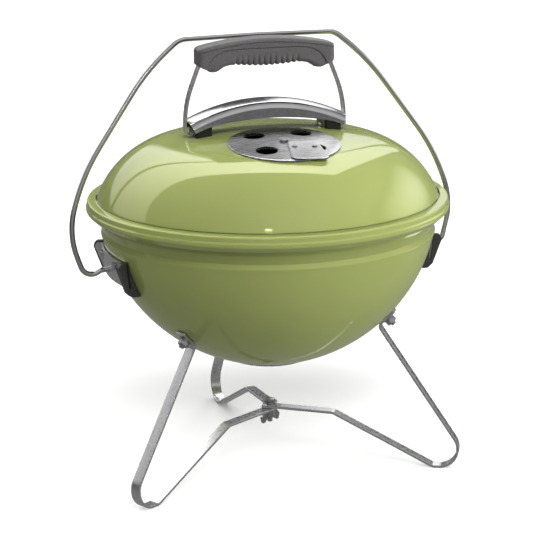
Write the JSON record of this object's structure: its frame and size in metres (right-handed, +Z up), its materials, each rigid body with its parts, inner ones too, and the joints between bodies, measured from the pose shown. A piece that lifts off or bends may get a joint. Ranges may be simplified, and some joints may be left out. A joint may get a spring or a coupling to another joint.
{
  "type": "portable kettle grill",
  "caption": "Small round charcoal grill: enamelled bowl on bent strap legs, domed lid with a vent and grip, loose grates and a wire carry bail.",
  "frame": {"origin": "on the ground, under the vertical axis of the bowl", "axes": "+Z up, +X to the right along the bail's pivot line, +Y to the rear, away from the lid vent"},
  "size_m": [0.4148, 0.3879, 0.4507],
  "materials": {
    "enamel": "glossy porcelain enamel",
    "plated_steel": "bright zinc plated flat bar",
    "chrome_wire": "polished chrome plated wire",
    "fasteners": "zinc plated",
    "damper_aluminium": "brushed aluminium",
    "shield_steel": "polished stainless sheet",
    "grip_plastic": "fine textured heat resistant nylon",
    "black_plastic": "black heat resistant nylon",
    "grate_wire": "nickel chrome plated wire"
  },
  "bodies": {
    "root": {"bowl_shell": "enamel", "leg_front_left": "plated_steel", "leg_front_right": "plated_steel", "leg_rear": "plated_steel", "leg_bolts": "fasteners", "leg_washers": "fasteners", "leg_nuts": "fasteners", "hub_bolt": "fasteners", "hub_washer": "fasteners", "hub_wing_nut": "fasteners", "side_bracket_left": "plated_steel", "side_bracket_right": "plated_steel", "bracket_pad_left_front": "black_plastic", "bracket_pad_left_rear": "black_plastic", "bracket_pad_right_front": "black_plastic", "bracket_pad_right_rear": "black_plastic", "bracket_rivets": "fasteners", "bottom_vent_rivet": "fasteners"},
    "bail": {"bail": "chrome_wire"},
    "lid": {"lid_shell": "enamel", "handle_strap": "plated_steel", "heat_shield": "shield_steel", "grip_upper": "grip_plastic", "grip_insert": "grip_plastic", "grip_screws": "fasteners", "handle_block_left": "black_plastic", "handle_block_right": "black_plastic", "handle_bolts": "fasteners", "lid_vent_rivet": "damper_aluminium"},
    "lid_vent": {"lid_vent_disc": "damper_aluminium", "lid_vent_tab": "damper_aluminium", "lid_vent_tab_rivets": "damper_aluminium"},
    "bottom_vent": {"bottom_vent_disc": "damper_aluminium"},
    "cooking_grate": {"cooking_grate": "grate_wire"},
    "charcoal_grate": {"charcoal_grate": "grate_wire"}
  },
  "joints": [
    {"name": "bail_swing", "type": "hinge", "parent": "root", "child": "bail", "pos_m": [0, 0, 0.223], "axis": [-1, 0, 0], "range_deg": [0, 122]},
    {"name": "lid_lift", "type": "slide", "parent": "root", "child": "lid", "axis": [0, 0, 1], "range_m": [0, 0.024]},
    {"name": "lid_vent_turn", "type": "hinge", "parent": "lid", "child": "lid_vent", "pos_m": [-0.0033, -0.06302, 0.35363], "axis": [-0.0056, -0.1065, 0.9943], "continuous": true},
    {"name": "bottom_vent_turn", "type": "hinge", "parent": "root", "child": "bottom_vent", "pos_m": [0, 0, 0.1105], "axis": [0, 0, 1], "continuous": true},
    {"name": "cooking_grate_lift", "type": "slide", "parent": "root", "child": "cooking_grate", "axis": [0, 0, 1], "range_m": [0, 0.02]},
    {"name": "charcoal_grate_lift", "type": "slide", "parent": "root", "child": "charcoal_grate", "axis": [0, 0, 1], "range_m": [0, 0.08]}
  ]
}
